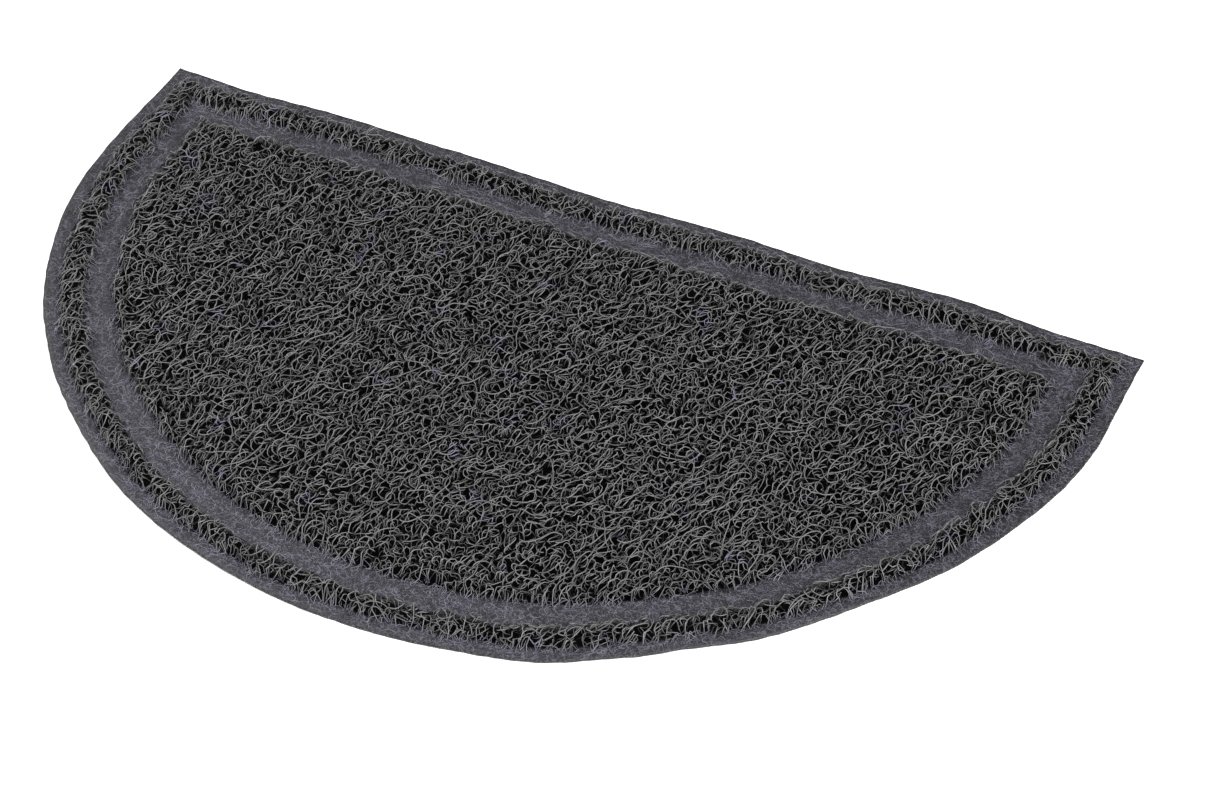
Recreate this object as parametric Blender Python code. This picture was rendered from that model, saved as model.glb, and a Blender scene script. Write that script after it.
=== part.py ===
"""Half-round loop mat, in metres, +Z up.

The mat is one piece of soft vinyl. Looped strands lie on a thin backing, and a hot die presses them flat
along the rim and along an inner channel. That leaves a raised ring and a raised field of open loops.
Here it is one solid: a loft of nested outlines, closed by a grid over the field and a flat base.
+X runs along the straight back edge and -Y points to the round front. The origin is at the middle of
the mat's box, on the surface that it lies on.
"""

import math

import bmesh
import bpy
from mathutils import Vector, noise

MM = 0.001

# Outline: a semicircle on a short straight stub
MAT_WIDTH = 600 * MM
MAT_DEPTH = 360 * MM
ARC_RADIUS = MAT_WIDTH / 2
STUB_LENGTH = MAT_DEPTH - ARC_RADIUS

# Bands, from the cut edge inwards
RIM_WIDTH = 8 * MM
RING_WIDTH = 15 * MM
CHANNEL_WIDTH = 15 * MM

# Heights above the floor
SHEET_THICKNESS = 2.0 * MM
CHANNEL_THICKNESS = 1.8 * MM
RING_HEIGHT = 8.0 * MM
FIELD_HEIGHT = 8.4 * MM

# Flanks of the ring and of the field
FLANK_RUN = 2.6 * MM
CROWN_RUN = 2.6 * MM
SHOULDER_SHARE = 0.72
FIELD_CORNER_CUT = 2.5 * MM

# Cut edge of the rim
EDGE_EASE = 0.4 * MM

# Underside: the mat rests on a flat polygon with few corners, and the sheet round it clears the floor by
# a hair. The lift and the bulge that EDGE_TABLE gives the rim fade out at these insets
REST_INSET = RIM_WIDTH + RING_WIDTH + CHANNEL_WIDTH
FLOOR_GAP = 0.2 * MM
LIFT_FADE = RIM_WIDTH + RING_WIDTH + CHANNEL_WIDTH / 2
BULGE_FADE = 90 * MM

# Lumps of the loops as they show from a step away
LUMP_SIZE = 15 * MM
LUMP_HEIGHT = 1.8 * MM
FINE_LUMP_SIZE = 8 * MM
FINE_LUMP_SHARE = 0.5

# Stations on each run of an outline. Down a stub and on along the arc there are GRID_SIDE of them, and then
# as many as on the back, so that the field closes with a grid
GRID_SIDE = 34
STATIONS = {"back": 62, "right": 5, "arc": 120, "left": 5}
REST_STATIONS = {"back": 1, "right": 1, "arc": 10, "left": 0}

# Humps and dips of the cut edge: distance along it from the back left corner, clockwise from above,
# outward bulge and lift off the floor, all in millimetres
EDGE_TABLE = (
    {"along": 0, "bulge": -1.7, "lift": 2.0},
    {"along": 50, "bulge": -1.3, "lift": 0.2},
    {"along": 105, "bulge": 0.1, "lift": 1.2},
    {"along": 180, "bulge": -0.4, "lift": 0.8},
    {"along": 280, "bulge": -2.2, "lift": 0.0},
    {"along": 355, "bulge": -0.3, "lift": 0.8},
    {"along": 420, "bulge": -1.3, "lift": 0.0},
    {"along": 490, "bulge": 0.8, "lift": 2.0},
    {"along": 560, "bulge": -1.0, "lift": 0.3},
    {"along": 600, "bulge": -1.1, "lift": 0.3},
    {"along": 690, "bulge": 2.4, "lift": 0.0},
    {"along": 785, "bulge": 0.4, "lift": 0.3},
    {"along": 850, "bulge": -1.2, "lift": 2.0},
    {"along": 910, "bulge": -0.3, "lift": 0.4},
    {"along": 945, "bulge": -0.8, "lift": 1.4},
    {"along": 975, "bulge": 0.3, "lift": 0.2},
    {"along": 1020, "bulge": 3.6, "lift": 0.0},
    {"along": 1070, "bulge": 1.4, "lift": 0.2},
    {"along": 1130, "bulge": 0.6, "lift": 0.1},
    {"along": 1210, "bulge": -0.2, "lift": 0.8},
    {"along": 1275, "bulge": -0.2, "lift": 0.3},
    {"along": 1335, "bulge": -1.5, "lift": 1.3},
    {"along": 1400, "bulge": -0.4, "lift": 0.4},
    {"along": 1445, "bulge": 0.9, "lift": 0.1},
    {"along": 1530, "bulge": 1.5, "lift": 0.3},
    {"along": 1600, "bulge": 0.0, "lift": 0.2},
)


def clear_scene():
    for old in list(bpy.data.objects):
        bpy.data.objects.remove(old, do_unlink=True)


def smooth(share):
    """0 to 1 with a level start and end."""
    share = min(1.0, max(0.0, share))
    return share * share * (3 - 2 * share)


def edge_value(column, along):
    """The table's column at a distance along the cut edge, smooth between its rows and round the end."""
    whole = MAT_WIDTH + 2 * STUB_LENGTH + math.pi * ARC_RADIUS
    rows = [*EDGE_TABLE, dict(EDGE_TABLE[0], along=whole / MM)]
    for here, following in zip(rows, rows[1:]):
        if along <= following["along"] * MM:
            span = (following["along"] - here["along"]) * MM
            share = smooth((along - here["along"] * MM) / span)
            return (here[column] + share * (following[column] - here[column])) * MM
    return rows[-1][column] * MM


def stations(counts, arc_offset=0.0):
    """Each station of an outline: its run, how far it is along that run, and its distance along the edge."""
    runs = {"back": MAT_WIDTH, "right": STUB_LENGTH, "arc": math.pi * ARC_RADIUS, "left": STUB_LENGTH}
    found = []
    start = 0.0
    for run, length in runs.items():
        offset = arc_offset if run == "arc" else 0.0
        for i in range(counts[run]):
            share = (i + offset) / counts[run]
            found.append((run, share, start + length * share))
        start += length
    return found


def outline_point(run, share, along, inset):
    """The outline's point at a station, set in from the cut edge by inset, with the edge's own unevenness."""
    half = ARC_RADIUS - inset
    back = MAT_DEPTH / 2 - inset
    centre = MAT_DEPTH / 2 - STUB_LENGTH
    field_share = smooth((inset - RIM_WIDTH - RING_WIDTH) / CHANNEL_WIDTH)
    cut = 0.0
    if run == "back":
        point = Vector((-half + 2 * half * share, back, 0))
        outward = Vector((0, 1, 0))
    elif run == "right":
        point = Vector((half, back + (centre - back) * share, 0))
        outward = Vector((1, 0, 0))
    elif run == "left":
        point = Vector((-half, centre + (back - centre) * share, 0))
        outward = Vector((-1, 0, 0))
    else:
        angle = -math.pi * share
        outward = Vector((math.cos(angle), math.sin(angle), 0))
        point = Vector((0, centre, 0)) + half * outward
    if share == 0 and run in ("back", "right"):
        outward = Vector((math.copysign(1, point.x), 1, 0))
        cut = FIELD_CORNER_CUT * field_share
    fade = 1 - smooth(inset / BULGE_FADE)
    return point + outward * (edge_value("bulge", along) * fade - cut)


def lift_at(along, inset):
    """Height that the rim leaves the floor by."""
    return edge_value("lift", along) * (1 - smooth(inset / LIFT_FADE))


def lump(point, height):
    """Rise or fall of the loops' lumpy top."""
    coarse = noise.noise(point / LUMP_SIZE)
    fine = noise.noise(point / FINE_LUMP_SIZE + Vector((7, 3, 5)))
    return height * (coarse + FINE_LUMP_SHARE * fine)


def band_sections():
    """Rows of the loft, from below over the cut edge to the field: inset, height and height of the lumps."""
    ring_foot = RIM_WIDTH
    ring_end = RIM_WIDTH + RING_WIDTH
    field_foot = ring_end + CHANNEL_WIDTH

    def shoulder(top):
        return SHEET_THICKNESS + SHOULDER_SHARE * (top - SHEET_THICKNESS)

    edge = EDGE_EASE
    ring_low = shoulder(RING_HEIGHT)
    field_low = shoulder(FIELD_HEIGHT)
    crown = FLANK_RUN + CROWN_RUN
    return (
        {"inset": LIFT_FADE, "height": FLOOR_GAP, "lump": 0.0},
        {"inset": edge, "height": FLOOR_GAP, "lump": 0.0},
        {"inset": 0.0, "height": SHEET_THICKNESS / 2, "lump": 0.0},
        {"inset": edge, "height": SHEET_THICKNESS, "lump": 0.0},
        {"inset": ring_foot, "height": SHEET_THICKNESS, "lump": 0.0},
        {"inset": ring_foot + FLANK_RUN, "height": ring_low, "lump": LUMP_HEIGHT / 2},
        {"inset": ring_foot + crown, "height": RING_HEIGHT, "lump": LUMP_HEIGHT},
        {"inset": ring_end - crown, "height": RING_HEIGHT, "lump": LUMP_HEIGHT},
        {"inset": ring_end - FLANK_RUN, "height": ring_low, "lump": LUMP_HEIGHT / 2},
        {"inset": ring_end, "height": SHEET_THICKNESS, "lump": 0.0},
        {"inset": ring_end + CHANNEL_WIDTH / 2, "height": CHANNEL_THICKNESS, "lump": 0.0},
        {"inset": field_foot, "height": SHEET_THICKNESS, "lump": 0.0},
        {"inset": field_foot + FLANK_RUN, "height": field_low, "lump": LUMP_HEIGHT / 2},
        {"inset": field_foot + crown, "height": FIELD_HEIGHT, "lump": LUMP_HEIGHT},
    )


def add_loop(mesh, points):
    """One closed loop of edges through the points."""
    verts = [mesh.verts.new(point) for point in points]
    return [mesh.edges.new((a, b)) for a, b in zip(verts, verts[1:] + verts[:1])]


def rest_points():
    """Corners of the flat polygon that the mat rests on."""
    return [outline_point(*station, REST_INSET) for station in stations(REST_STATIONS, arc_offset=0.5)]


def section_points(section):
    """The stations' points at a section's inset and height."""
    points = []
    for run, share, along in stations(STATIONS):
        point = outline_point(run, share, along, section["inset"])
        rise = lump(point, section["lump"])
        point.z = section["height"] + lift_at(along, section["inset"]) + rise
        points.append(point)
    return points


def loft(mesh, sections):
    """Bridges the rest polygon and the sections' loops, and returns the first and the last loop's edges."""
    loops = [add_loop(mesh, rest_points())]
    loops += [add_loop(mesh, section_points(section)) for section in sections]
    for lower, upper in zip(loops, loops[1:]):
        bmesh.ops.bridge_loops(mesh, edges=lower + upper)
    return loops[0], loops[-1]


def fill_field(mesh, edges):
    """Closes the field with a grid and gives its points their lumpy height."""
    across = STATIONS["back"]
    opposite = across + GRID_SIDE
    rails = edges[:across] + edges[opposite : opposite + across]
    before = set(mesh.verts)
    bmesh.ops.grid_fill(mesh, edges=rails)
    for vert in mesh.verts:
        if vert not in before:
            vert.co.z = 0
            vert.co.z = FIELD_HEIGHT + lump(vert.co, LUMP_HEIGHT)


def centre_on_floor(mesh):
    """Puts the middle of the mat's box over the origin."""
    xs = [vert.co.x for vert in mesh.verts]
    ys = [vert.co.y for vert in mesh.verts]
    middle = Vector((min(xs) + max(xs), min(ys) + max(ys), 0)) / 2
    bmesh.ops.translate(mesh, verts=mesh.verts, vec=-middle)


def vinyl():
    """Soft dark grey vinyl with a dull shine."""
    material = bpy.data.materials.new("dark_grey_vinyl")
    material.use_nodes = True
    surface = material.node_tree.nodes["Principled BSDF"]
    surface.inputs["Base Color"].default_value = (0.075, 0.075, 0.080, 1)
    surface.inputs["Roughness"].default_value = 0.55
    surface.inputs["Metallic"].default_value = 0.0
    return material


def build_mat(collection):
    mesh = bmesh.new()
    rest_edges, field_edges = loft(mesh, band_sections())
    fill_field(mesh, field_edges)
    bmesh.ops.contextual_create(mesh, geom=rest_edges)
    bmesh.ops.recalc_face_normals(mesh, faces=mesh.faces)
    centre_on_floor(mesh)
    data = bpy.data.meshes.new("mat")
    mesh.to_mesh(data)
    mesh.free()
    data.shade_smooth()
    data.set_sharp_from_angle(angle=math.radians(50))
    data.materials.append(vinyl())
    mat = bpy.data.objects.new("mat", data)
    collection.objects.link(mat)
    return mat


def main():
    clear_scene()
    collection = bpy.data.collections.new("half_round_mat")
    bpy.context.scene.collection.children.link(collection)
    build_mat(collection)


main()
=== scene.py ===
import math

import bpy
import numpy as np
from mathutils import Matrix, Vector
from mathutils.geometry import delaunay_2d_cdt


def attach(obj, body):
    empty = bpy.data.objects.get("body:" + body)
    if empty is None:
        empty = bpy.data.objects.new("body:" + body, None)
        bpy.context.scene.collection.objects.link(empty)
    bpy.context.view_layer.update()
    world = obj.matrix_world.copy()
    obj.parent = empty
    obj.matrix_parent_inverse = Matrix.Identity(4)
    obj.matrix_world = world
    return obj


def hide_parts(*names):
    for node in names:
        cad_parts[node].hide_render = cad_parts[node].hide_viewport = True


mm = 0.001

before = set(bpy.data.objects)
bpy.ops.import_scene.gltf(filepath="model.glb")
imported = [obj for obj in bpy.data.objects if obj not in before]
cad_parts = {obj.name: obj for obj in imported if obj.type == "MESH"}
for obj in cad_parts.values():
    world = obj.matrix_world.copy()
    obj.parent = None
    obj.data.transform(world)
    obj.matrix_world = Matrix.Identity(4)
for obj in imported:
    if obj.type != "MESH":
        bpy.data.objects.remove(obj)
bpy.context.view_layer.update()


# Outline and bands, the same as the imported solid's
outline = {
    "width": 600 * mm,
    "depth": 360 * mm,
    "rim": 8 * mm,  # pressed band along the cut edge
    "ring": 15 * mm,  # raised loops
    "channel": 15 * mm,  # pressed band between ring and field
    "liftFade": 30.5 * mm,  # inset where the rim's lift has faded out
    "bulgeFade": 90 * mm,  # inset where the edge's bulges have faded out
    "step": 3 * mm,  # distance between points along the cut edge
}

# Humps and dips of the cut edge: distance along it from the back left corner, clockwise from above,
# outward bulge and lift off the floor, all in millimetres
edgeWaves = [
    {"along": 0, "bulge": -1.7, "lift": 2.0},
    {"along": 50, "bulge": -1.3, "lift": 0.2},
    {"along": 105, "bulge": 0.1, "lift": 1.2},
    {"along": 180, "bulge": -0.4, "lift": 0.8},
    {"along": 280, "bulge": -2.2, "lift": 0.0},
    {"along": 355, "bulge": -0.3, "lift": 0.8},
    {"along": 420, "bulge": -1.3, "lift": 0.0},
    {"along": 490, "bulge": 0.8, "lift": 2.0},
    {"along": 560, "bulge": -1.0, "lift": 0.3},
    {"along": 600, "bulge": -1.1, "lift": 0.3},
    {"along": 690, "bulge": 2.4, "lift": 0.0},
    {"along": 785, "bulge": 0.4, "lift": 0.3},
    {"along": 850, "bulge": -1.2, "lift": 2.0},
    {"along": 910, "bulge": -0.3, "lift": 0.4},
    {"along": 945, "bulge": -0.8, "lift": 1.4},
    {"along": 975, "bulge": 0.3, "lift": 0.2},
    {"along": 1020, "bulge": 3.6, "lift": 0.0},
    {"along": 1070, "bulge": 1.4, "lift": 0.2},
    {"along": 1130, "bulge": 0.6, "lift": 0.1},
    {"along": 1210, "bulge": -0.2, "lift": 0.8},
    {"along": 1275, "bulge": -0.2, "lift": 0.3},
    {"along": 1335, "bulge": -1.5, "lift": 1.3},
    {"along": 1400, "bulge": -0.4, "lift": 0.4},
    {"along": 1445, "bulge": 0.9, "lift": 0.1},
    {"along": 1530, "bulge": 1.5, "lift": 0.3},
    {"along": 1600, "bulge": 0.0, "lift": 0.2},
]

# How far the bands' feet stray inwards from their even places, in millimetres
bandEdges = [
    {"along": 0, "ringOuter": -0.4, "ringInner": 2.8, "field": -0.6},
    {"along": 100, "ringOuter": -0.4, "ringInner": 2.2, "field": -0.8},
    {"along": 500, "ringOuter": -0.4, "ringInner": 2.2, "field": -0.8},
    {"along": 690, "ringOuter": -0.3, "ringInner": 2.2, "field": -0.4},
    {"along": 895, "ringOuter": -1.0, "ringInner": 0.2, "field": -1.2},
    {"along": 1131, "ringOuter": -0.5, "ringInner": 0.2, "field": 0.0},
    {"along": 1367, "ringOuter": 0.0, "ringInner": 1.0, "field": -1.3},
    {"along": 1550, "ringOuter": 0.0, "ringInner": 3.8, "field": -0.8},
]

arcRadius = outline["width"] / 2
backY = outline["depth"] / 2
arcY = arcRadius - backY  # the arc's centre; a straight stub runs from it up to each back corner
stub = backY - arcY
wholeEdge = outline["width"] + 2 * stub + math.pi * arcRadius
ringFoot = outline["rim"]
ringEnd = ringFoot + outline["ring"]
fieldFoot = ringEnd + outline["channel"]


def smooth(share):
    share = np.clip(share, 0, 1)
    return share * share * (3 - 2 * share)


def mix(low, high, share):
    return low + (high - low) * share


rippleWaves = {"count": 12, "stretch": (0.7, 1.7)}


def ripple(x, y, kind):
    # Smooth unevenness over the floor plane, up to about twice the kind's height either way, with hills
    # about half the kind's size across
    rng = np.random.default_rng(kind["seed"])
    count = rippleWaves["count"]
    turns = rng.uniform(0, math.tau, count)
    stretches = rng.uniform(*rippleWaves["stretch"], count)
    phases = rng.uniform(0, math.tau, count)
    total = 0
    for turn, stretch, phase in zip(turns, stretches, phases):
        along = x * math.cos(turn) + y * math.sin(turn)
        total = total + np.sin(math.tau * along / (kind["size"] * stretch) + phase)
    return kind["height"] * (total / math.sqrt(count / 2))


def atEdge(table, column, along):
    # A column of edgeWaves or bandEdges at distances along the cut edge
    rows = table + [dict(table[0], along=wholeEdge / mm)]
    at = np.array([row["along"] for row in rows]) * mm
    value = np.array([row[column] for row in rows]) * mm
    here = np.clip(np.searchsorted(at, along, side="right") - 1, 0, len(rows) - 2)
    return mix(value[here], value[here + 1], smooth((along - at[here]) / (at[here + 1] - at[here])))


def sideEdge(x, y):
    # Distance in from the stubs and the arc, distance along the edge, and the way out
    onArc = y < arcY
    reach = np.maximum(np.hypot(x, y - arcY), 1e-9)
    inset = np.where(onArc, arcRadius - reach, arcRadius - np.abs(x))
    turned = np.arctan2(arcY - y, x)
    onStub = np.where(x > 0, outline["width"] + backY - y, wholeEdge - backY + y)
    along = np.where(onArc, outline["width"] + stub + arcRadius * turned, onStub)
    outX = np.where(onArc, x / reach, np.sign(x))
    outY = np.where(onArc, (y - arcY) / reach, 0)
    return inset, along, outX, outY


def nearestEdge(x, y):
    # Distance in from the nearest cut edge, and distance along it
    sideInset, sideAlong, _, _ = sideEdge(x, y)
    backInset = backY - y
    return np.minimum(backInset, sideInset), np.where(backInset < sideInset, x + arcRadius, sideAlong)


def laid(x, y):
    # Where points of the true half round lie on the uneven mat, and how far they are off the floor
    sideInset, sideAlong, outX, outY = sideEdge(x, y)
    backInset = backY - y
    backBulge = atEdge(edgeWaves, "bulge", x + arcRadius) * (1 - smooth(backInset / outline["bulgeFade"]))
    sideBulge = atEdge(edgeWaves, "bulge", sideAlong) * (1 - smooth(sideInset / outline["bulgeFade"]))
    inset, along = nearestEdge(x, y)
    lift = atEdge(edgeWaves, "lift", along) * (1 - smooth(inset / outline["liftFade"]))
    return x + outX * sideBulge, y + outY * sideBulge + backBulge, lift


def edgeLoop(inset):
    # Points of the true half round, set in from its cut edge, clockwise from the back left corner
    spacing = outline["step"]
    half = arcRadius - inset
    back = backY - inset
    onBack = round(outline["width"] / spacing)
    onStub = round(stub / spacing)
    onArc = round(math.pi * arcRadius / spacing)
    angles = -math.pi * np.arange(onArc) / onArc
    x = [np.linspace(-half, half, onBack, endpoint=False), np.full(onStub, half)]
    y = [np.full(onBack, back), np.linspace(back, arcY, onStub, endpoint=False)]
    x += [half * np.cos(angles), np.full(onStub, -half)]
    y += [arcY + half * np.sin(angles), np.linspace(arcY, back, onStub, endpoint=False)]
    return np.concatenate(x), np.concatenate(y)


def middleShift():
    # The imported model's origin is at the middle of its box
    x, y, _ = laid(*edgeLoop(0))
    return -(x.min() + x.max()) / 2, -(y.min() + y.max()) / 2


shiftX, shiftY = middleShift()
print("outline shift in mm", round(shiftX / mm, 2), round(shiftY / mm, 2))


# Camera and light

view = {
    "azimuth": 27.3,  # degrees, round the mat from its front towards its right
    "elevation": 41.4,
    "roll": -1.16,
    "focus": 4199 / 1214,  # focal length as a share of the picture's width
    "sensor": 36,  # its width in millimetres
    "place": Vector((818.0, -1452.0, 1470.9)) * mm,
    "clip": (0.1, 20),
}


def makeCamera():
    turn, rise, roll = (math.radians(view[key]) for key in ("azimuth", "elevation", "roll"))
    ahead = Vector((-math.sin(turn) * math.cos(rise), math.cos(turn) * math.cos(rise), -math.sin(rise)))
    level = Vector((math.cos(turn), math.sin(turn), 0))
    upright = level.cross(ahead)
    right = math.cos(roll) * level + math.sin(roll) * upright
    up = math.cos(roll) * upright - math.sin(roll) * level
    data = bpy.data.cameras.new("camera")
    data.sensor_width = view["sensor"]
    data.lens = view["sensor"] * view["focus"]
    data.clip_start, data.clip_end = view["clip"]
    camera = bpy.data.objects.new("camera", data)
    bpy.context.scene.collection.objects.link(camera)
    axes = Matrix((right, up, -ahead)).transposed().to_4x4()
    camera.matrix_world = Matrix.Translation(view["place"] + Vector((shiftX, shiftY, 0))) @ axes
    bpy.context.scene.camera = camera


studio = {
    "floorSize": 12.0,
    "floorColor": (0.9, 0.9, 0.9, 1),
    "floorRoughness": 0.9,
    "skyColor": (1, 1, 1, 1),
    "skyStrength": 0.5,
    "boxSize": 1.0,
    "boxes": {"left": (60, (-1.4, 0.0, 1.5)), "right": (92, (1.55, -0.85, 1.0))},  # power and place
}


def plainMaterial(name, color, roughness):
    material = bpy.data.materials.new(name)
    material.use_nodes = True
    surface = material.node_tree.nodes["Principled BSDF"]
    surface.inputs["Base Color"].default_value = color
    surface.inputs["Roughness"].default_value = roughness
    return material


def makeStudio():
    half = studio["floorSize"] / 2
    corners = [(-half, -half, 0), (half, -half, 0), (half, half, 0), (-half, half, 0)]
    mesh = bpy.data.meshes.new("floor")
    mesh.from_pydata(corners, [], [(0, 1, 2, 3)])
    mesh.materials.append(plainMaterial("paleFloor", studio["floorColor"], studio["floorRoughness"]))
    floor = bpy.data.objects.new("floor", mesh)
    bpy.context.scene.collection.objects.link(floor)
    world = bpy.data.worlds.new("sky")
    world.use_nodes = True
    background = world.node_tree.nodes["Background"]
    background.inputs["Color"].default_value = studio["skyColor"]
    background.inputs["Strength"].default_value = studio["skyStrength"]
    bpy.context.scene.world = world
    for side, (power, place) in studio["boxes"].items():
        light = bpy.data.lights.new(side + "Box", "AREA")
        light.size = studio["boxSize"]
        light.energy = power
        box = bpy.data.objects.new(side + "Box", light)
        box.location = place
        box.rotation_mode = "QUATERNION"
        box.rotation_quaternion = (-box.location).to_track_quat("-Z", "Y")
        bpy.context.scene.collection.objects.link(box)
    bpy.context.scene.view_settings.view_transform = "Standard"


makeCamera()
makeStudio()
print("camera and light ready")


# Pressed sheet: the film along the rim and in the channel, and the backing under the loops

sheet = {
    "floorGap": 0.2 * mm,
    "filmTop": 2.0 * mm,  # where the loops are pressed flat
    "backingTop": 1.2 * mm,  # under open loops
    "edgeEase": 0.4 * mm,  # how far the cut edge is rounded
    "rimRows": (2.5 * mm, 5 * mm),  # distances in from the cut edge
    "channelRows": (0.2, 0.4, 0.6, 0.8),  # shares of the channel's width
    "slope": 2.5 * mm,  # run from the film down to the backing
    "middleInset": 8 * mm,  # from the field's foot to the flat middle
    "filmRipple": {"height": 0.12 * mm, "size": 14 * mm, "seed": 3},
    "cutRippleX": {"height": 0.12 * mm, "size": 9 * mm, "seed": 4},
    "cutRippleY": {"height": 0.12 * mm, "size": 9 * mm, "seed": 5},
    "cutReach": 1 * mm,  # how far in the cut edge's own ripples go
}


def sheetSections():
    # Inset and height from the underside over the cut edge to the backing under the field
    film, backing, gap = sheet["filmTop"], sheet["backingTop"], sheet["floorGap"]
    ease, slope = sheet["edgeEase"], sheet["slope"]
    middle = fieldFoot + sheet["middleInset"]
    rows = [(middle, 0), (fieldFoot, 0), (outline["liftFade"], gap)]
    rows += [(ease, gap), (0, film / 2), (ease, film)]
    rows += [(inset, film) for inset in sheet["rimRows"]]
    rows += [(ringFoot, film), (ringFoot + slope, backing), (ringEnd - slope, backing), (ringEnd, film)]
    rows += [(ringEnd + outline["channel"] * share, film) for share in sheet["channelRows"]]
    rows += [(fieldFoot, film), (fieldFoot + slope, backing), (middle, backing)]
    return rows


def addValues(mesh, name, values):
    # A number for each point, for the materials and the node tree to read
    data = mesh.attributes.new(name, "FLOAT", "POINT").data
    data.foreach_set("value", values.astype(np.float32))


def makeSheet():
    places, insets = [], []
    sections = sheetSections()
    for inset, height in sections:
        x, y = edgeLoop(inset)
        bumps = ripple(x, y, sheet["filmRipple"]) * (height > sheet["backingTop"])
        atCut = inset < sheet["cutReach"]
        placedX, placedY, lift = laid(x, y)
        placedX = placedX + ripple(x, y, sheet["cutRippleX"]) * atCut
        placedY = placedY + ripple(x, y, sheet["cutRippleY"]) * atCut
        places.append(np.column_stack((placedX + shiftX, placedY + shiftY, height + bumps + lift)))
        insets.append(np.full(len(x), inset))
    count = len(places[0])
    ring = np.arange(count)
    after = np.roll(ring, -1)
    faces = []
    for level in range(len(sections) - 1):
        low, high = level * count, (level + 1) * count
        faces += np.column_stack((low + ring, high + ring, high + after, low + after)).tolist()
    faces.append(ring.tolist())
    faces.append((ring[::-1] + (len(sections) - 1) * count).tolist())
    mesh = bpy.data.meshes.new("pressedSheet")
    mesh.from_pydata(np.concatenate(places).tolist(), [], faces)
    addValues(mesh, "inset", np.concatenate(insets))
    mesh.shade_smooth()
    piece = bpy.data.objects.new("pressedSheet", mesh)
    bpy.context.scene.collection.objects.link(piece)
    return piece


# Strands: open ones that coil along lanes across the mat and round its flanks, the web of strands fused
# together over them, and fine ones pressed into the film. Their points have a level, 0 in the backing or
# under the film and 1 on top

strand = {
    "girth": 0.275 * mm,  # a strand's own radius
    "girthSpread": (0.9, 1.1),
    "thickness": 1.0,  # makes all strands thicker or thinner by this multiple
    "sides": 3,
    "stretch": (0.87, 1.15),  # loops are a little longer across the mat than along it
    "coilTop": 8.4 * mm,
    "crown": {"height": 0.2 * mm, "size": 30 * mm, "seed": 8},  # unevenness of the top
    "slope": 4.4 * mm,  # run of a raised band's flank
    "ragged": {"height": 1.2 * mm, "size": 16 * mm, "seed": 6},  # unevenness of the flank's line
    "frayed": {"height": 0.7 * mm, "size": 6 * mm, "seed": 7},
    "slant": 7 * mm,  # how far strands lean over to either side on a flank
    "flattened": 0.66,  # a pressed strand's girth as a multiple of an open one's
    "sunk": (1.6, 0.35),  # girths that pressed strands of level 0 and 1 lie under the film's top
    "tintFade": 1.6,  # the film's colour is gone from strands at 1 / 1.6 of a flank's height
    "shadeDepth": 3.4 * mm,  # strands this far under the top are in full shade
    "flankLight": 0.45,  # but less so on a flank, where light comes in from the side
    "hiddenDepth": 3.6 * mm,  # and from here on they are left out
    "peep": 0.02 * mm,  # so are strands that rise less than this out of the sheet
    "floorGap": 0.3 * mm,
    "edgeGap": 0.6 * mm,
    "pieceEdges": 24000,  # stretches of strand in a piece, which keeps it under 200,000 triangles
}

crowding = {
    "cell": 0.8 * mm,
    "margin": 30,  # cells past the mat's edge
    "samples": (1 / 6, 1 / 2, 5 / 6),  # where each stretch of strand is counted
    "reach": 3.2 * mm,  # how far a strand feels its neighbours
    "giving": 3.0 * mm * mm,  # how readily it moves away from them
    "rise": 0.16,  # level gained where there is an empty place
    "rounds": 2,
}

loops = {
    # lane is the distance between neighbouring lanes, and lanes are distances in from the cut edge in
    # millimetres; radius is a turn's usual one; advance is how far a strand moves on for each length laid
    # down; stretch lengthens the turns along the edge and away from it
    "longways": {"lane": 4.5 * mm, "radius": 3.6 * mm, "advance": 0.29},
    "crossways": {"lane": 3.1 * mm, "radius": 5.5 * mm, "advance": 0.42},
    "flank": {
        "lanes": (9.5, 21.5, 39.5),
        "radius": 2.8 * mm,
        "advance": 0.29,
        "stretch": (1.5, 0.8),
    },
    "pressed": {
        "lanes": (1.5, 3.5, 5.5, 7.5, 24.2, 26.2, 28.2, 30.2, 32.2, 34.2, 36.2, 38.2),
        "radius": 1.7 * mm,
        "advance": 0.3,
        "stretch": (1, 1),
    },
    "pressedRise": 0.1,  # level added, so that fewer dive under the film
    "pressedTop": 1.05,
    "pressedUpTo": 0.3,  # share of a flank's height that pressed strands climb
    "openFrom": 0.05,  # and where open ones begin
    "overshoot": 30 * mm,  # how much longer than the mat lanes are
    "margin": 5 * mm,  # how far to each side of the mat they go on
    "step": 1.9 * mm,
    "longest": 3,  # steps; a longer stretch would cut across a corner
    # strength of a change along the strand, and its reach in steps
    "kinks": {"strength": 0.65, "reach": 2},
    "changes": {"strength": 0.2, "reach": 9},
    "bumps": {"strength": 0.15, "reach": 7},
    "evenness": 0.7,  # turns over which drift is taken out
    "wander": 0.25,  # as a share of the radius
    "level": 0.62,
    "levels": (-0.1, 1.02),  # the lowest and the highest
    "tilt": 0.34,  # how far each turn dips and rises about the usual level
    "tiltChange": 1.5,  # how much the way it tilts changes along the lane, in radians
    "seed": 12,
}

web = {
    "cell": 5.9 * mm,  # distance between neighbouring cells' middles
    "rows": 0.866,  # distance between rows of cells, as a multiple of that
    "margin": 3,  # cells past the mat's edge
    "unevenness": 0.5,
    "stretch": (
        {"height": 0.9 * mm, "size": 22 * mm, "seed": 31},
        {"height": 0.9 * mm, "size": 22 * mm, "seed": 32},
    ),
    "sag": 0.55,
    "sagPower": 1.6,  # more than 1, so that most junctions are near the top
    "bow": 0.16,  # how far strands bend aside, as a share of their length
    "halfway": (0.02, 0.05),  # level gained halfway between junctions, and its spread
    "missing": 0.12,
    "merge": 1e-7,  # middles nearer than this count as one
    "seed": 21,
}


def bellOf(reach):
    return np.exp(-0.5 * (np.arange(-3 * reach, 3 * reach + 1) / reach) ** 2)


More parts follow.
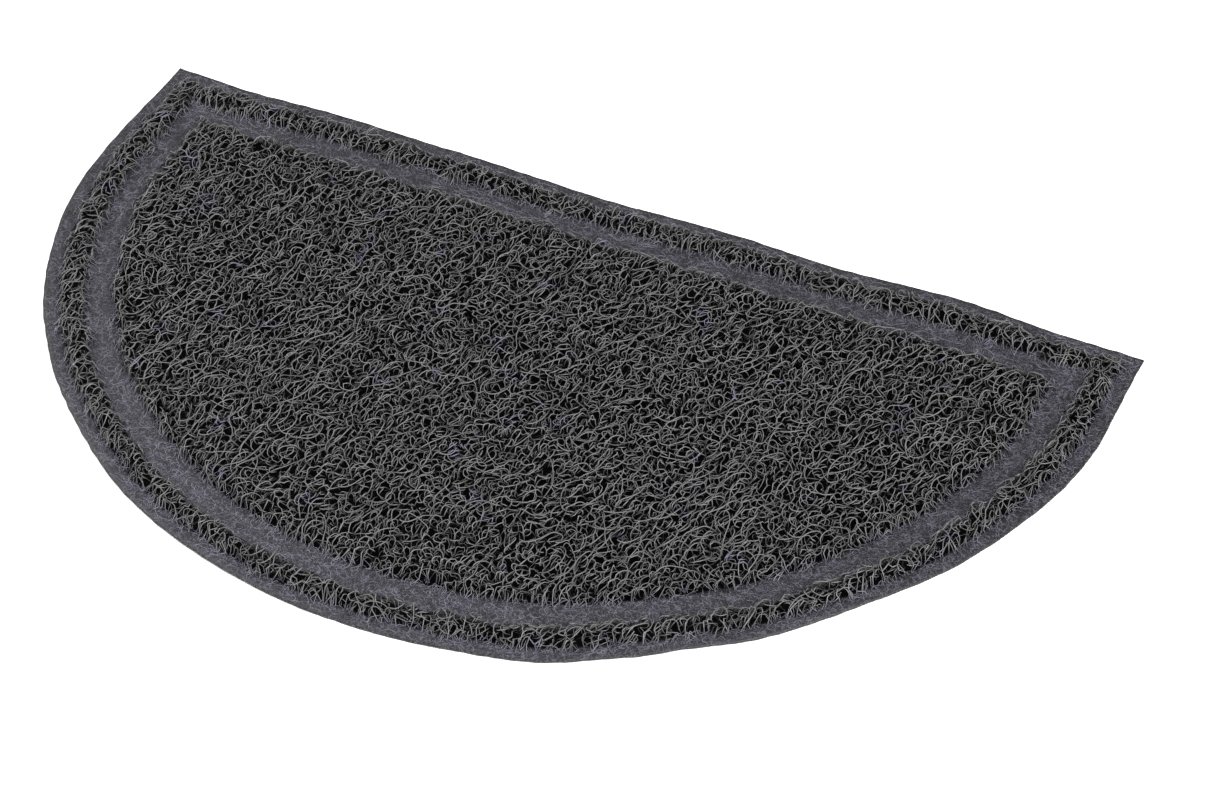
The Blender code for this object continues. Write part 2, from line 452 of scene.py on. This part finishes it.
def lanesOfNoise(rng, lanes, count, reach):
    # Smooth random values along each lane, with a spread of 1
    raw = rng.standard_normal((lanes, count + 6 * reach))
    bell = bellOf(reach)
    bell /= math.sqrt((bell**2).sum())
    return np.array([np.convolve(lane, bell, mode="valid") for lane in raw])[:, :count]


def trendOf(path, reach):
    bell = bellOf(reach)
    bell /= bell.sum()
    padded = np.pad(path, ((0, 0), (3 * reach, 3 * reach)), mode="edge")
    return np.array([np.convolve(lane, bell, mode="valid") for lane in padded])


def coilingPaths(length, lanePlaces, coil, seed):
    # Strands that coil along straight lanes: distances along and off the lanes, level, girth and slant of
    # their points, and the pairs of points that they run between
    rng = np.random.default_rng(seed)
    radius = coil["radius"]
    lanes = len(lanePlaces)
    count = math.ceil(length / coil["advance"] / loops["step"])
    turn = round(math.tau * radius / loops["step"])

    def noise(reach):
        return lanesOfNoise(rng, lanes, count, reach)

    def change(kind):
        return loops[kind]["strength"] * noise(loops[kind]["reach"])

    bend = 1 + change("kinks") + change("changes")
    bend *= np.where(rng.random((lanes, 1)) < 0.5, -1, 1) / radius
    heading = rng.uniform(0, math.tau, (lanes, 1)) + np.cumsum(bend * loops["step"], axis=1)
    along = np.cumsum(np.cos(heading), axis=1) * loops["step"]
    off = np.cumsum(np.sin(heading), axis=1) * loops["step"]
    drift = round(loops["evenness"] * turn)
    along -= trendOf(along, drift)
    off -= trendOf(off, drift)
    wander = loops["wander"] * radius
    along += np.linspace(0, length, count) + wander * noise(turn)
    off += np.array(lanePlaces)[:, None] + wander * noise(turn)
    lean = rng.uniform(0, math.tau, (lanes, 1)) + loops["tiltChange"] * noise(turn)
    level = loops["level"] + loops["tilt"] * np.cos(heading - lean) + change("bumps")
    level = np.clip(level, *loops["levels"])
    girth = strand["girth"] * rng.uniform(*strand["girthSpread"], (lanes, 1)) * np.ones_like(along)
    slant = noise(turn)
    points = np.stack((along, off, level, girth, slant), axis=2).reshape(-1, 5)
    index = np.arange(lanes * count).reshape(lanes, count)
    return points, np.column_stack((index[:, :-1].ravel(), index[:, 1:].ravel()))


def fieldCoils(across, seed):
    # Lanes over the whole mat, along its width or across it
    length, breadth = outline["width"], outline["depth"]
    alongStretch, offStretch = strand["stretch"]
    if across:
        length, breadth = breadth, length
        alongStretch, offStretch = offStretch, alongStretch
    length += loops["overshoot"]
    reach = breadth / offStretch / 2 + loops["margin"]
    coil = loops["crossways" if across else "longways"]
    lanes = np.arange(-reach, reach, coil["lane"])
    points, edges = coilingPaths(length / alongStretch, lanes, coil, seed)
    points[:, 0] = points[:, 0] * alongStretch - length / 2
    points[:, 1] *= offStretch
    if across:
        points[:, [0, 1]] = points[:, [1, 0]]
    return points, edges


def edgeCoils(coil, seed):
    # Lanes that follow the cut edge
    alongStretch, offStretch = coil["stretch"]
    lanes = np.array(coil["lanes"]) * mm / offStretch
    points, edges = coilingPaths(wholeEdge / alongStretch, lanes, coil, seed)
    along, inset = points[:, 0] * alongStretch % wholeEdge, points[:, 1] * offStretch
    half = arcRadius - inset
    turned = (along - outline["width"] - stub) / arcRadius
    onBack = along < outline["width"]
    onRight = ~onBack & (turned < 0)
    onLeft = turned > math.pi
    x = np.select((onBack, onRight, onLeft), (along - arcRadius, half, -half), half * np.cos(turned))
    rightY = backY - (along - outline["width"])
    leftY = backY - (wholeEdge - along)
    y = np.select((onBack, onRight, onLeft), (backY - inset, rightY, leftY), arcY - half * np.sin(turned))
    points[:, 0], points[:, 1] = x, y
    reach = np.hypot(*(points[edges[:, 1], :2] - points[edges[:, 0], :2]).T)
    return points, edges[reach < loops["longest"] * loops["step"]]


def pressedCoils(seed):
    # Strands that are pressed into the film of the rim and of the channel
    points, edges = edgeCoils(loops["pressed"], seed)
    points[:, 2] = np.minimum(points[:, 2] + loops["pressedRise"], loops["pressedTop"])
    up = raised(points[:, 0], points[:, 1])
    return points, edges[(up[edges] < loops["pressedUpTo"]).all(axis=1)]


def webPaths():
    # The same for the web: strands run between the junctions round uneven cells, each by way of its middle
    rng = np.random.default_rng(web["seed"])
    step = web["cell"]
    stretch = np.array(strand["stretch"])
    reachX, reachY = np.array([arcRadius, backY]) / stretch + web["margin"] * step
    x, y = np.meshgrid(np.arange(-reachX, reachX, step), np.arange(-reachY, reachY, step * web["rows"]))
    x[1::2] += step / 2
    middles = np.column_stack((x.ravel(), y.ravel()))
    middles += step * web["unevenness"] * rng.uniform(-1, 1, middles.shape)
    vectors = [Vector(middle) for middle in middles.tolist()]
    corners, _, triangles, *_ = delaunay_2d_cdt(vectors, [], [], 0, web["merge"])
    triangles = np.array(triangles)
    junctions = np.array([corner[:] for corner in corners])[triangles].mean(axis=1)
    sides = np.concatenate((triangles[:, [0, 1]], triangles[:, [1, 2]], triangles[:, [2, 0]]))
    sides = np.sort(sides, axis=1)
    key = sides[:, 0] * len(corners) + sides[:, 1]
    order = np.argsort(key, kind="stable")
    owner = np.tile(np.arange(len(triangles)), 3)[order]
    shared = key[order][1:] == key[order][:-1]
    pairs = np.column_stack((owner[:-1][shared], owner[1:][shared]))
    pairs = pairs[rng.random(len(pairs)) > web["missing"]]
    level = 1 - web["sag"] * rng.random(len(junctions)) ** web["sagPower"]
    first, second = pairs.T
    start, end = junctions[first], junctions[second]
    along = end - start
    aside = np.column_stack((-along[:, 1], along[:, 0])) * rng.normal(0, web["bow"], (len(pairs), 1))
    halfway = (start + end) / 2 + aside
    halfLevel = (level[first] + level[second]) / 2 + rng.normal(*web["halfway"], len(pairs))
    flat = np.concatenate((junctions, halfway))
    flat = flat + np.column_stack([ripple(*flat.T, kind) for kind in web["stretch"]])
    flat *= stretch
    level = np.clip(np.concatenate((level, halfLevel)), 0, 1)
    girth = strand["girth"] * rng.uniform(*strand["girthSpread"], len(flat))
    slant = rng.standard_normal(len(flat))
    points = np.column_stack((flat, level, girth, slant))
    middle = len(junctions) + np.arange(len(pairs))
    edges = np.stack((np.column_stack((first, middle)), np.column_stack((middle, second))), axis=1)
    return points, edges.reshape(-1, 2)


def spreadOut(sets):
    # Soft strands give way sideways where they crowd together, and rise where there is room
    cell = crowding["cell"]
    across, deep = (math.ceil(outline[side] / cell / 2) + crowding["margin"] for side in ("width", "depth"))
    shape = (2 * across, 2 * deep)
    wavesX, wavesY = np.fft.fftfreq(shape[0], cell), np.fft.rfftfreq(shape[1], cell)
    waves = np.hypot(*np.meshgrid(wavesX, wavesY, indexing="ij"))
    bell = np.exp(-2 * (math.pi * waves * crowding["reach"]) ** 2)

    def cellOf(at):
        column = np.clip(np.floor(at[:, 0] / cell).astype(int) + across, 0, shape[0] - 1)
        row = np.clip(np.floor(at[:, 1] / cell).astype(int) + deep, 0, shape[1] - 1)
        return column * shape[1] + row

    depth = strand["coilTop"] - sheet["backingTop"]
    for _ in range(crowding["rounds"]):
        crowd = np.zeros(shape[0] * shape[1])
        for points, edges in sets:
            for share in crowding["samples"]:
                at = mix(points[edges[:, 0], :3], points[edges[:, 1], :3], share)
                seen = np.clip(1 - (1 - at[:, 2]) * depth / strand["shadeDepth"], 0, 1)
                crowd += np.bincount(cellOf(at), seen, len(crowd))
        spread = np.fft.irfft2(np.fft.rfft2(crowd.reshape(shape)) * bell, shape)
        spread /= np.median(spread)
        uphill = np.gradient(spread, cell)
        for points, _ in sets:
            here = cellOf(points)
            for axis in (0, 1):
                points[:, axis] -= crowding["giving"] * uphill[axis].ravel()[here]
            points[:, 2] += crowding["rise"] * np.clip(1 - spread.ravel()[here], -1, 1)


def raised(x, y):
    # 0 where the mat is pressed flat, 1 on the ring and the field, with a ragged slope between
    inset, along = nearestEdge(x, y)
    inset = inset + ripple(x, y, strand["ragged"]) + ripple(x, y, strand["frayed"])
    slope = strand["slope"]
    ringOuter = ringFoot + atEdge(bandEdges, "ringOuter", along)
    ringInner = ringEnd + atEdge(bandEdges, "ringInner", along)
    field = fieldFoot + atEdge(bandEdges, "field", along)
    ring = smooth((inset - ringOuter) / slope) * smooth((ringInner - inset) / slope)
    return ring + smooth((inset - field) / slope)


def offFilm(points, edges):
    # Leaves the film to its own strands
    up = raised(points[:, 0], points[:, 1])
    return points, edges[(up[edges] > loops["openFrom"]).any(axis=1)]


def showing(points, edges):
    # Strands on the uneven mat: x, y, z, girth, painted light and shade by depth (paintedLight) and
    # pressing of the points, the edges that aren't buried, and how far in from the cut edge the points are
    x, y, level, girth, slant = points.T
    up = raised(x, y)
    opened = smooth(2 * up)
    girth = girth * mix(strand["flattened"], 1, opened)
    sideInset, _, outX, outY = sideEdge(x, y)
    nearBack = backY - y < sideInset
    lean = strand["slant"] * slant * 4 * up * (1 - up) * (up - 0.5)
    x = x + lean * np.where(nearBack, 1, -outY)
    y = y + lean * np.where(nearBack, 0, outX)
    film = sheet["filmTop"] + ripple(x, y, sheet["filmRipple"])
    surface = mix(film, sheet["backingTop"], opened)
    crown = strand["coilTop"] - girth + ripple(x, y, strand["crown"])
    lowSunk, highSunk = strand["sunk"]
    top = mix(film - highSunk * girth, crown, up)
    z = np.maximum(mix(surface - lowSunk * girth, top, level), girth + strand["floorGap"])
    # painted shade: strands darken with depth under the top, less so on a flank's lower half, carried as
    # paintedLight
    depth = (1 - level) * (crown - sheet["backingTop"])
    climb = np.maximum(up, 0.5)  # side light is even on a flank's lower half and fades towards the top
    shaded = depth * (1 - strand["flankLight"] * 4 * climb * (1 - climb))
    paintedLight = np.clip(1 - shaded / strand["shadeDepth"], 0, 1)
    pressed = 1 - smooth(strand["tintFade"] * up)
    inset, _ = nearestEdge(x, y)
    seen = (z + girth > surface + strand["peep"]) & (depth < strand["hiddenDepth"])
    chosen = (seen[edges[:, 0]] | seen[edges[:, 1]]) & (inset[edges] > strand["edgeGap"]).all(axis=1)
    placedX, placedY, lift = laid(x, y)
    placed = np.column_stack((placedX + shiftX, placedY + shiftY, z + lift, girth, paintedLight, pressed))
    return placed, edges[chosen], inset


def inParts(points, edges, inset, name):
    # Shares the strands between the ring and the field, and each between pieces of a fair size
    parts = []
    middle = (ringEnd + fieldFoot) / 2
    onRing = inset[edges].min(axis=1) < middle
    for zone, chosen in (("Ring", edges[onRing]), ("Field", edges[~onRing])):
        count = math.ceil(len(chosen) / strand["pieceEdges"])
        for part, share in enumerate(np.array_split(chosen, count)):
            used, flat = np.unique(share, return_inverse=True)
            parts.append((f"{name}{zone}{part + 1}", points[used], flat.reshape(-1, 2)))
    return parts


def strandTree():
    # Turns a mesh of edges into strands, with each point's own girth
    tree = bpy.data.node_groups.new("loopStrands", "GeometryNodeTree")
    face = tree.interface
    face.new_socket("Geometry", in_out="INPUT", socket_type="NodeSocketGeometry")
    face.new_socket("Sides", in_out="INPUT", socket_type="NodeSocketInt")
    face.new_socket("Thickness", in_out="INPUT", socket_type="NodeSocketFloat")
    face.new_socket("Material", in_out="INPUT", socket_type="NodeSocketMaterial")
    face.new_socket("Geometry", in_out="OUTPUT", socket_type="NodeSocketGeometry")
    nodes, links = tree.nodes, tree.links
    given = nodes.new("NodeGroupInput")
    curve = nodes.new("GeometryNodeMeshToCurve")
    upright = nodes.new("GeometryNodeSetCurveNormal")
    upright.mode = "Z_UP"
    girth = nodes.new("GeometryNodeInputNamedAttribute")
    girth.data_type = "FLOAT"
    girth.inputs["Name"].default_value = "girth"
    thickness = nodes.new("ShaderNodeMath")
    thickness.operation = "MULTIPLY"
    profile = nodes.new("GeometryNodeCurvePrimitiveCircle")
    profile.inputs["Radius"].default_value = 1
    tube = nodes.new("GeometryNodeCurveToMesh")
    tube.inputs["Fill Caps"].default_value = True
    soft = nodes.new("GeometryNodeSetShadeSmooth")
    real = nodes.new("GeometryNodeRealizeInstances")
    finish = nodes.new("GeometryNodeSetMaterial")
    made = nodes.new("NodeGroupOutput")
    links.new(given.outputs["Geometry"], curve.inputs["Mesh"])
    links.new(curve.outputs["Curve"], upright.inputs["Curve"])
    links.new(upright.outputs["Curve"], tube.inputs["Curve"])
    links.new(given.outputs["Sides"], profile.inputs["Resolution"])
    links.new(profile.outputs["Curve"], tube.inputs["Profile Curve"])
    links.new(girth.outputs["Attribute"], thickness.inputs[0])
    links.new(given.outputs["Thickness"], thickness.inputs[1])
    links.new(thickness.outputs["Value"], tube.inputs["Scale"])
    links.new(tube.outputs["Mesh"], soft.inputs["Geometry"])
    links.new(soft.outputs["Geometry"], real.inputs["Geometry"])
    links.new(real.outputs["Geometry"], finish.inputs["Geometry"])
    links.new(given.outputs["Material"], finish.inputs["Material"])
    links.new(finish.outputs["Geometry"], made.inputs["Geometry"])
    return tree


def socketId(tree, name):
    sockets = [item for item in tree.interface.items_tree if item.in_out == "INPUT"]
    return next(socket.identifier for socket in sockets if socket.name == name)


def makeStrands(name, points, edges, tree, material):
    mesh = bpy.data.meshes.new(name + "Paths")
    mesh.from_pydata(points[:, :3].tolist(), edges.tolist(), [])
    for column, attribute in ((3, "girth"), (4, "paintedLight"), (5, "pressed")):
        addValues(mesh, attribute, points[:, column])
    paths = bpy.data.objects.new(name + "Paths", mesh)
    bpy.context.scene.collection.objects.link(paths)
    strands = paths.modifiers.new("loopStrands", "NODES")
    strands.node_group = tree
    strands[socketId(tree, "Sides")] = strand["sides"]
    strands[socketId(tree, "Thickness")] = strand["thickness"]
    strands[socketId(tree, "Material")] = material
    evaluated = paths.evaluated_get(bpy.context.evaluated_depsgraph_get())
    piece = bpy.data.objects.new(name, bpy.data.meshes.new_from_object(evaluated))
    bpy.context.scene.collection.objects.link(piece)
    bpy.data.objects.remove(paths)
    piece.data.calc_loop_triangles()
    print(name, len(piece.data.loop_triangles), "triangles")
    return piece


# Materials

vinyl = {
    "strand": (0.107, 0.107, 0.107, 1),
    "pressedStrand": (0.118, 0.114, 0.148, 1),
    "strandFinish": {"roughness": 0.48, "shine": 0.5},
    "spots": {"size": 14 * mm, "range": (0.73, 0.78)},  # of the pressed strands' colour on open ones
    # painted shade: near-black for strands deep under the top; under open loops it is partly painted shade
    # and partly the backing's own dark vinyl
    "deep": (0.003, 0.003, 0.003, 1),
    "paintedShadeMetal": (0.2, 1),  # paintedLight from which the painted shade's metal fades and where it is gone
    "film": (0.050, 0.048, 0.065, 1),
    "paintedCreaseShade": (0.004, 0.004, 0.006, 1),  # painted shade in the creases between fibres
    "filmPlain": (0.045, 0.043, 0.044, 1),  # in patches and along the cut edge
    "filmFinish": {"roughness": 0.6, "shine": 0.35},
    "patches": {"size": 35 * mm, "range": (0.55, 0.75)},
    "cutPlain": {"range": (3.5 * mm, 0.8 * mm), "share": 0.7},  # insets between which it gets plain
    "fibres": {"sizes": (4.9 * mm, 3.9 * mm), "curl": 2.0, "ridge": (0.034, 0.012)},
    "fibreHeight": 0.3 * mm,
    "fibreBump": 0.8,
    "bandFade": 2.2 * mm,  # run from the film to the near-black under open loops, which is partly painted shade
    "bandReach": 50 * mm,  # insets that the bands' colour ramp spans
    "paintedBackShade": 0.85,  # painted shade: the pressed vinyl is darker towards the straight edge
    "paintedBackShadeRange": (-0.01, -0.17),  # y between which the shade fades out
}


def principled(name, finish):
    material = bpy.data.materials.new(name)
    material.use_nodes = True
    nodes = material.node_tree.nodes
    surface = nodes["Principled BSDF"]
    surface.inputs["Roughness"].default_value = finish["roughness"]
    surface.inputs["Specular IOR Level"].default_value = finish["shine"]
    return material, nodes, material.node_tree.links, surface


def feed(links, value, socket):
    # Links another node's output, or sets a plain value
    if isinstance(value, bpy.types.NodeSocket):
        links.new(value, socket)
    else:
        socket.default_value = value


def addMath(nodes, links, operation, first, second=0):
    node = nodes.new("ShaderNodeMath")
    node.operation = operation
    feed(links, first, node.inputs[0])
    feed(links, second, node.inputs[1])
    return node.outputs["Value"]


mixSockets = {"first": 6, "second": 7, "result": 2}  # a Mix node's sockets for colours


def addMix(nodes, links, factor, first, second):
    node = nodes.new("ShaderNodeMix")
    node.data_type = "RGBA"
    links.new(factor, node.inputs["Factor"])
    feed(links, first, node.inputs[mixSockets["first"]])
    feed(links, second, node.inputs[mixSockets["second"]])
    return node.outputs[mixSockets["result"]]


def addRange(nodes, links, value, given, wanted=(0, 1)):
    node = nodes.new("ShaderNodeMapRange")
    links.new(value, node.inputs["Value"])
    node.inputs["From Min"].default_value, node.inputs["From Max"].default_value = given
    node.inputs["To Min"].default_value, node.inputs["To Max"].default_value = wanted
    return node.outputs["Result"]


def addNoise(nodes, links, size, detail=2, distortion=0):
    where = nodes.new("ShaderNodeTexCoord")
    node = nodes.new("ShaderNodeTexNoise")
    links.new(where.outputs["Object"], node.inputs["Vector"])
    node.inputs["Scale"].default_value = 1 / size
    node.inputs["Detail"].default_value = detail
    node.inputs["Distortion"].default_value = distortion
    return node.outputs["Fac"]


def addAttribute(nodes, name):
    node = nodes.new("ShaderNodeAttribute")
    node.attribute_name = name
    return node.outputs["Fac"]


def addFibres(nodes, links):
    # Two sets of fine curled ridges that cross each other, 0 in the creases to 1 along the ridges
    fibres = vinyl["fibres"]
    sets = []
    for size in fibres["sizes"]:
        noise = addNoise(nodes, links, size, 1, fibres["curl"])
        offMiddle = addMath(nodes, links, "SUBTRACT", noise, 0.5)
        height = addMath(nodes, links, "ABSOLUTE", offMiddle)
        sets.append(addRange(nodes, links, height, fibres["ridge"]))
    return addMath(nodes, links, "MAXIMUM", *sets)


def paintedBackShade():
    # Shared by both materials: painted shade, darkens a colour towards the straight back edge
    tree = bpy.data.node_groups.new("paintedBackShade", "ShaderNodeTree")
    tree.interface.new_socket("Color", in_out="INPUT", socket_type="NodeSocketColor")
    tree.interface.new_socket("Shade", in_out="INPUT", socket_type="NodeSocketFloat")
    tree.interface.new_socket("Color", in_out="OUTPUT", socket_type="NodeSocketColor")
    nodes, links = tree.nodes, tree.links
    given = nodes.new("NodeGroupInput")
    made = nodes.new("NodeGroupOutput")
    where = nodes.new("ShaderNodeTexCoord")
    split = nodes.new("ShaderNodeSeparateXYZ")
    links.new(where.outputs["Object"], split.inputs["Vector"])
    light = addRange(nodes, links, split.outputs["Y"], vinyl["paintedBackShadeRange"])
    links.new(given.outputs["Shade"], light.node.inputs["To Min"])
    shaded = nodes.new("ShaderNodeVectorMath")
    shaded.operation = "SCALE"
    links.new(given.outputs["Color"], shaded.inputs[0])
    links.new(light, shaded.inputs["Scale"])
    links.new(shaded.outputs["Vector"], made.inputs["Color"])
    return tree


def addPaintedBackShade(nodes, links, color):
    node = nodes.new("ShaderNodeGroup")
    node.node_tree = bpy.data.node_groups.get("paintedBackShade") or paintedBackShade()
    links.new(color, node.inputs["Color"])
    node.inputs["Shade"].default_value = vinyl["paintedBackShade"]
    return node.outputs["Color"]


def strandMaterial():
    material, nodes, links, surface = principled("loopVinyl", vinyl["strandFinish"])
    paintedLight = addAttribute(nodes, "paintedLight")
    pressed = addAttribute(nodes, "pressed")
    noise = addNoise(nodes, links, vinyl["spots"]["size"], 0)
    spots = addRange(nodes, links, noise, vinyl["spots"]["range"])
    bluish = addMath(nodes, links, "MAXIMUM", spots, pressed)
    light = addMix(nodes, links, bluish, vinyl["strand"], vinyl["pressedStrand"])
    # painted shade on the pressed strands, darker towards the back edge
    light = addMix(nodes, links, pressed, light, addPaintedBackShade(nodes, links, light))
    # painted shade: strands fade to the near-black deep colour as paintedLight falls
    links.new(addMix(nodes, links, paintedLight, vinyl["deep"], light), surface.inputs["Base Color"])
    metal = addRange(nodes, links, paintedLight, vinyl["paintedShadeMetal"], (1, 0))  # painted shade: metal takes the sheen out of the gaps
    links.new(metal, surface.inputs["Metallic"])
    return material


def addBands(nodes, links, inset):
    # 1 where the mat is pressed flat, 0 under open loops
    fade = vinyl["bandFade"]
    reach = vinyl["bandReach"]
    stops = [(0, 1), (ringFoot, 1), (ringFoot + fade, 0), (ringEnd - fade, 0)]
    stops += [(ringEnd, 1), (fieldFoot, 1), (fieldFoot + fade, 0)]
    bands = nodes.new("ShaderNodeValToRGB")
    ramp = bands.color_ramp.elements
    while len(ramp) < len(stops):
        ramp.new(0.5)
    for element, (place, value) in zip(ramp, stops):
        element.position = place / reach
        element.color = (value, value, value, 1)
    links.new(addMath(nodes, links, "DIVIDE", inset, reach), bands.inputs["Fac"])
    return bands.outputs["Color"]


def filmMaterial():
    material, nodes, links, surface = principled("pressedVinyl", vinyl["filmFinish"])
    inset = addAttribute(nodes, "inset")
    pressed = addBands(nodes, links, inset)
    fibres = addFibres(nodes, links)
    noise = addNoise(nodes, links, vinyl["patches"]["size"])
    patches = addRange(nodes, links, noise, vinyl["patches"]["range"])
    cutPlain = vinyl["cutPlain"]
    nearCut = addRange(nodes, links, inset, cutPlain["range"], (0, cutPlain["share"]))
    plain = addMath(nodes, links, "MAXIMUM", patches, nearCut)
    light = addMix(nodes, links, plain, vinyl["film"], vinyl["filmPlain"])
    # painted shade: near-black in the creases between fibres, and darker towards the back edge
    film = addPaintedBackShade(nodes, links, addMix(nodes, links, fibres, vinyl["paintedCreaseShade"], light))
    # under open loops the near-black backing: partly its own dark vinyl, partly painted shade
    links.new(addMix(nodes, links, pressed, vinyl["deep"], film), surface.inputs["Base Color"])
    metal = addRange(nodes, links, pressed, (0, 1), (1, 0))  # painted shade: metal takes the sheen out of the gaps under open loops
    links.new(metal, surface.inputs["Metallic"])
    bump = nodes.new("ShaderNodeBump")
    bump.inputs["Distance"].default_value = vinyl["fibreHeight"]
    bump.inputs["Strength"].default_value = vinyl["fibreBump"]
    links.new(fibres, bump.inputs["Height"])
    links.new(bump.outputs["Normal"], surface.inputs["Normal"])
    return material


pressedSheet = makeSheet()
pressedSheet.data.materials.append(filmMaterial())
print("pressed sheet ready")

strandVinyl = strandMaterial()
tree = strandTree()
strandSets = {
    "longways": fieldCoils(False, loops["seed"]),
    "crossways": fieldCoils(True, loops["seed"] + 1),
    "flank": edgeCoils(loops["flank"], loops["seed"] + 2),
    "web": webPaths(),
}
spreadOut(list(strandSets.values()))
strandSets = {name: offFilm(points, edges) for name, (points, edges) in strandSets.items()}
strandSets["pressed"] = pressedCoils(loops["seed"] + 3)
print("strands laid out")

loopPieces = []
for name, (points, edges) in strandSets.items():
    for part, partPoints, partEdges in inParts(*showing(points, edges), name):
        loopPieces.append(makeStrands(part, partPoints, partEdges, tree, strandVinyl))
print("loops ready")

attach(pressedSheet, "root")
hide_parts("mat")
for piece in loopPieces:
    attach(piece, "root")
    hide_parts("mat")

print("pieces placed on the frame")
